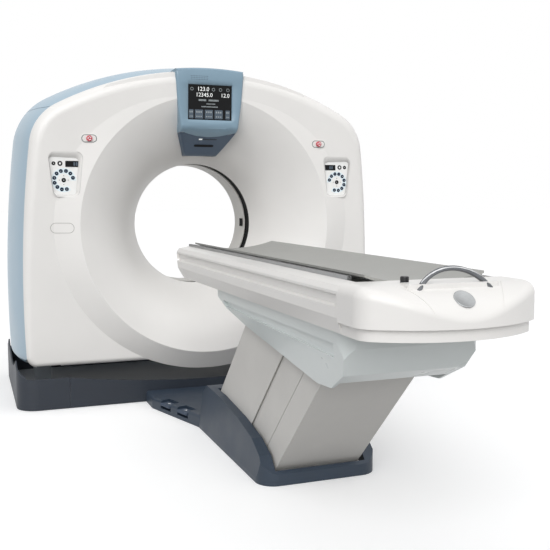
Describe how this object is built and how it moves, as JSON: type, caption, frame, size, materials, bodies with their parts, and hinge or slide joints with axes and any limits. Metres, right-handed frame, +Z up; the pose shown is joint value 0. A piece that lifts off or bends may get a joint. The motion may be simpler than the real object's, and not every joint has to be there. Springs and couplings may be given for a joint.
{
  "type": "ct scanner",
  "caption": "Computed tomography scanner: a tilting ring-shaped gantry with a flared bore, and a patient table that lifts on parallel arms and slides a cradle into the bore.",
  "frame": {"origin": "on the floor straight below the isocentre, at the underside of the gantry floor plate", "axes": "+X across the gantry, +Y from the table side of the gantry to its rear along the bore axis, +Z up"},
  "size_m": [2.2, 3.652, 1.94],
  "materials": {
    "white_cover": "satin white lacquer over a moulded cover",
    "blue_cover": "satin grey-blue lacquer",
    "slate_cover": "fine-textured slate plastic",
    "pale_cover": "satin bluish white plastic",
    "pedestal_cover": "satin pale grey paint",
    "dark_window": "glossy black film ring",
    "grey_liner": "matt grey liner",
    "keypad": "membrane keypad",
    "bezel": "white bezel",
    "stop_red": "red push button",
    "frame_paint": "grey machine paint",
    "bearing_steel": "ground steel",
    "ring_brass": "brass tracks",
    "alloy": "anodised alloy",
    "motor_black": "black motor paint",
    "belt_rubber": "ribbed rubber",
    "cradle_laminate": "smooth grey laminate",
    "handle_dark": "dark chromed tube",
    "knob_black": "black grip",
    "pedal_rubber": "ribbed rubber tread"
  },
  "bodies": {
    "base": {"gantry_floor_plate": "frame_paint", "base_cover_ends": "slate_cover", "base_cover_sides": "slate_cover", "tilt_pillars": "frame_paint", "trunnion_bushes": "bearing_steel", "tilt_motor": "motor_black", "table_floor_frame": "frame_paint", "table_base_cover": "slate_cover", "lift_motor": "motor_black", "pedal_housing": "slate_cover"},
    "gantry": {"tilt_frame": "frame_paint", "bearing_outer_race": "bearing_steel", "front_cover": "white_cover", "front_funnel": "white_cover", "service_plate": "white_cover", "rear_cover": "white_cover", "rear_funnel": "white_cover", "side_covers": "blue_cover", "top_cover": "blue_cover", "bottom_pan": "slate_cover", "scan_window": "dark_window", "tunnel_liner": "grey_liner", "laser_window": "dark_window", "display_housing": "blue_cover", "display_screen": "dark_window", "display_foot_cover": "slate_cover", "control_panels": "keypad", "stop_bezels": "bezel", "brush_block": "motor_black", "drive_motor": "motor_black", "drive_belt": "belt_rubber"},
    "rotor": {"rotor_disc": "frame_paint", "bearing_inner_race": "bearing_steel", "slip_ring": "ring_brass", "xray_tube": "frame_paint", "collimator": "alloy", "detector_arc": "alloy", "high_voltage_tank": "frame_paint", "balance_weight": "bearing_steel"},
    "pulley": {"motor_pulley": "bearing_steel"},
    "stop_left": {"stop_button_left": "stop_red"},
    "stop_right": {"stop_button_right": "stop_red"},
    "front_arm": {"lift_arm_front": "frame_paint", "pedestal_cover_head": "pedestal_cover"},
    "rear_arm": {"lift_arm_rear": "frame_paint", "pedestal_panels": "pedestal_cover", "pedestal_cover_foot": "pedestal_cover"},
    "table_top": {"table_carriage": "frame_paint", "table_skirt": "pale_cover", "table_side_covers": "white_cover", "table_head_cover": "white_cover", "table_foot_cap": "white_cover", "accessory_rails": "alloy", "grab_handle": "handle_dark", "latch_knob": "knob_black"},
    "cradle": {"cradle": "cradle_laminate"},
    "pedal_ul": {"pedal_up_left": "pedal_rubber"},
    "pedal_dl": {"pedal_down_left": "pedal_rubber"},
    "pedal_ur": {"pedal_up_right": "pedal_rubber"},
    "pedal_dr": {"pedal_down_right": "pedal_rubber"}
  },
  "joints": [
    {"name": "gantry_tilt", "type": "hinge", "parent": "base", "child": "gantry", "pos_m": [0, 0, 0.99], "axis": [1, 0, 0], "range_deg": [-30, 30]},
    {"name": "rotor_spin", "type": "hinge", "parent": "gantry", "child": "rotor", "pos_m": [0, 0.1, 0.99], "axis": [0, 1, 0], "continuous": true},
    {"name": "pulley_spin", "type": "hinge", "parent": "gantry", "child": "pulley", "pos_m": [0.56, 0.05, 0.37], "axis": [0, 1, 0], "continuous": true},
    {"name": "stop_left_press", "type": "slide", "parent": "gantry", "child": "stop_left", "axis": [0, 1, 0], "range_m": [0, 0.005], "stiffness_N_per_m": 800},
    {"name": "stop_right_press", "type": "slide", "parent": "gantry", "child": "stop_right", "axis": [0, 1, 0], "range_m": [0, 0.005], "stiffness_N_per_m": 800},
    {"name": "table_lift", "type": "hinge", "parent": "base", "child": "front_arm", "pos_m": [0, -1.45, 0.13], "axis": [-1, 0, 0], "range_deg": [-36, 6.5]},
    {"name": "rear_arm_swing", "type": "hinge", "parent": "base", "child": "rear_arm", "pos_m": [0, -1.95, 0.13], "axis": [-1, 0, 0], "range_deg": [-36, 6.5]},
    {"name": "table_level", "type": "hinge", "parent": "front_arm", "child": "table_top", "pos_m": [0, -2.00154, 0.68154], "axis": [-1, 0, 0], "range_deg": [-6.5, 36]},
    {"name": "cradle_slide", "type": "slide", "parent": "table_top", "child": "cradle", "axis": [0, 1, 0], "range_m": [0, 1.7]},
    {"name": "pedal_up_left_press", "type": "hinge", "parent": "base", "child": "pedal_ul", "pos_m": [-0.31454, -0.76478, 0.043], "axis": [0.2873, -0.9578, 0], "range_deg": [0, 6], "stiffness_Nm_per_rad": 8},
    {"name": "pedal_down_left_press", "type": "hinge", "parent": "base", "child": "pedal_dl", "pos_m": [-0.26486, -0.93038, 0.043], "axis": [0.2873, -0.9578, 0], "range_deg": [0, 6], "stiffness_Nm_per_rad": 8},
    {"name": "pedal_up_right_press", "type": "hinge", "parent": "base", "child": "pedal_ur", "pos_m": [0.31454, -0.76478, 0.043], "axis": [0.2873, 0.9578, 0], "range_deg": [0, 6], "stiffness_Nm_per_rad": 8},
    {"name": "pedal_down_right_press", "type": "hinge", "parent": "base", "child": "pedal_dr", "pos_m": [0.26486, -0.93038, 0.043], "axis": [0.2873, 0.9578, 0], "range_deg": [0, 6], "stiffness_Nm_per_rad": 8}
  ],
  "couplings": [
    {"joint": "pulley_spin", "follows": "rotor_spin", "ratio": 12.25},
    {"joint": "rear_arm_swing", "follows": "table_lift", "ratio": 1},
    {"joint": "table_level", "follows": "table_lift", "ratio": -1}
  ]
}
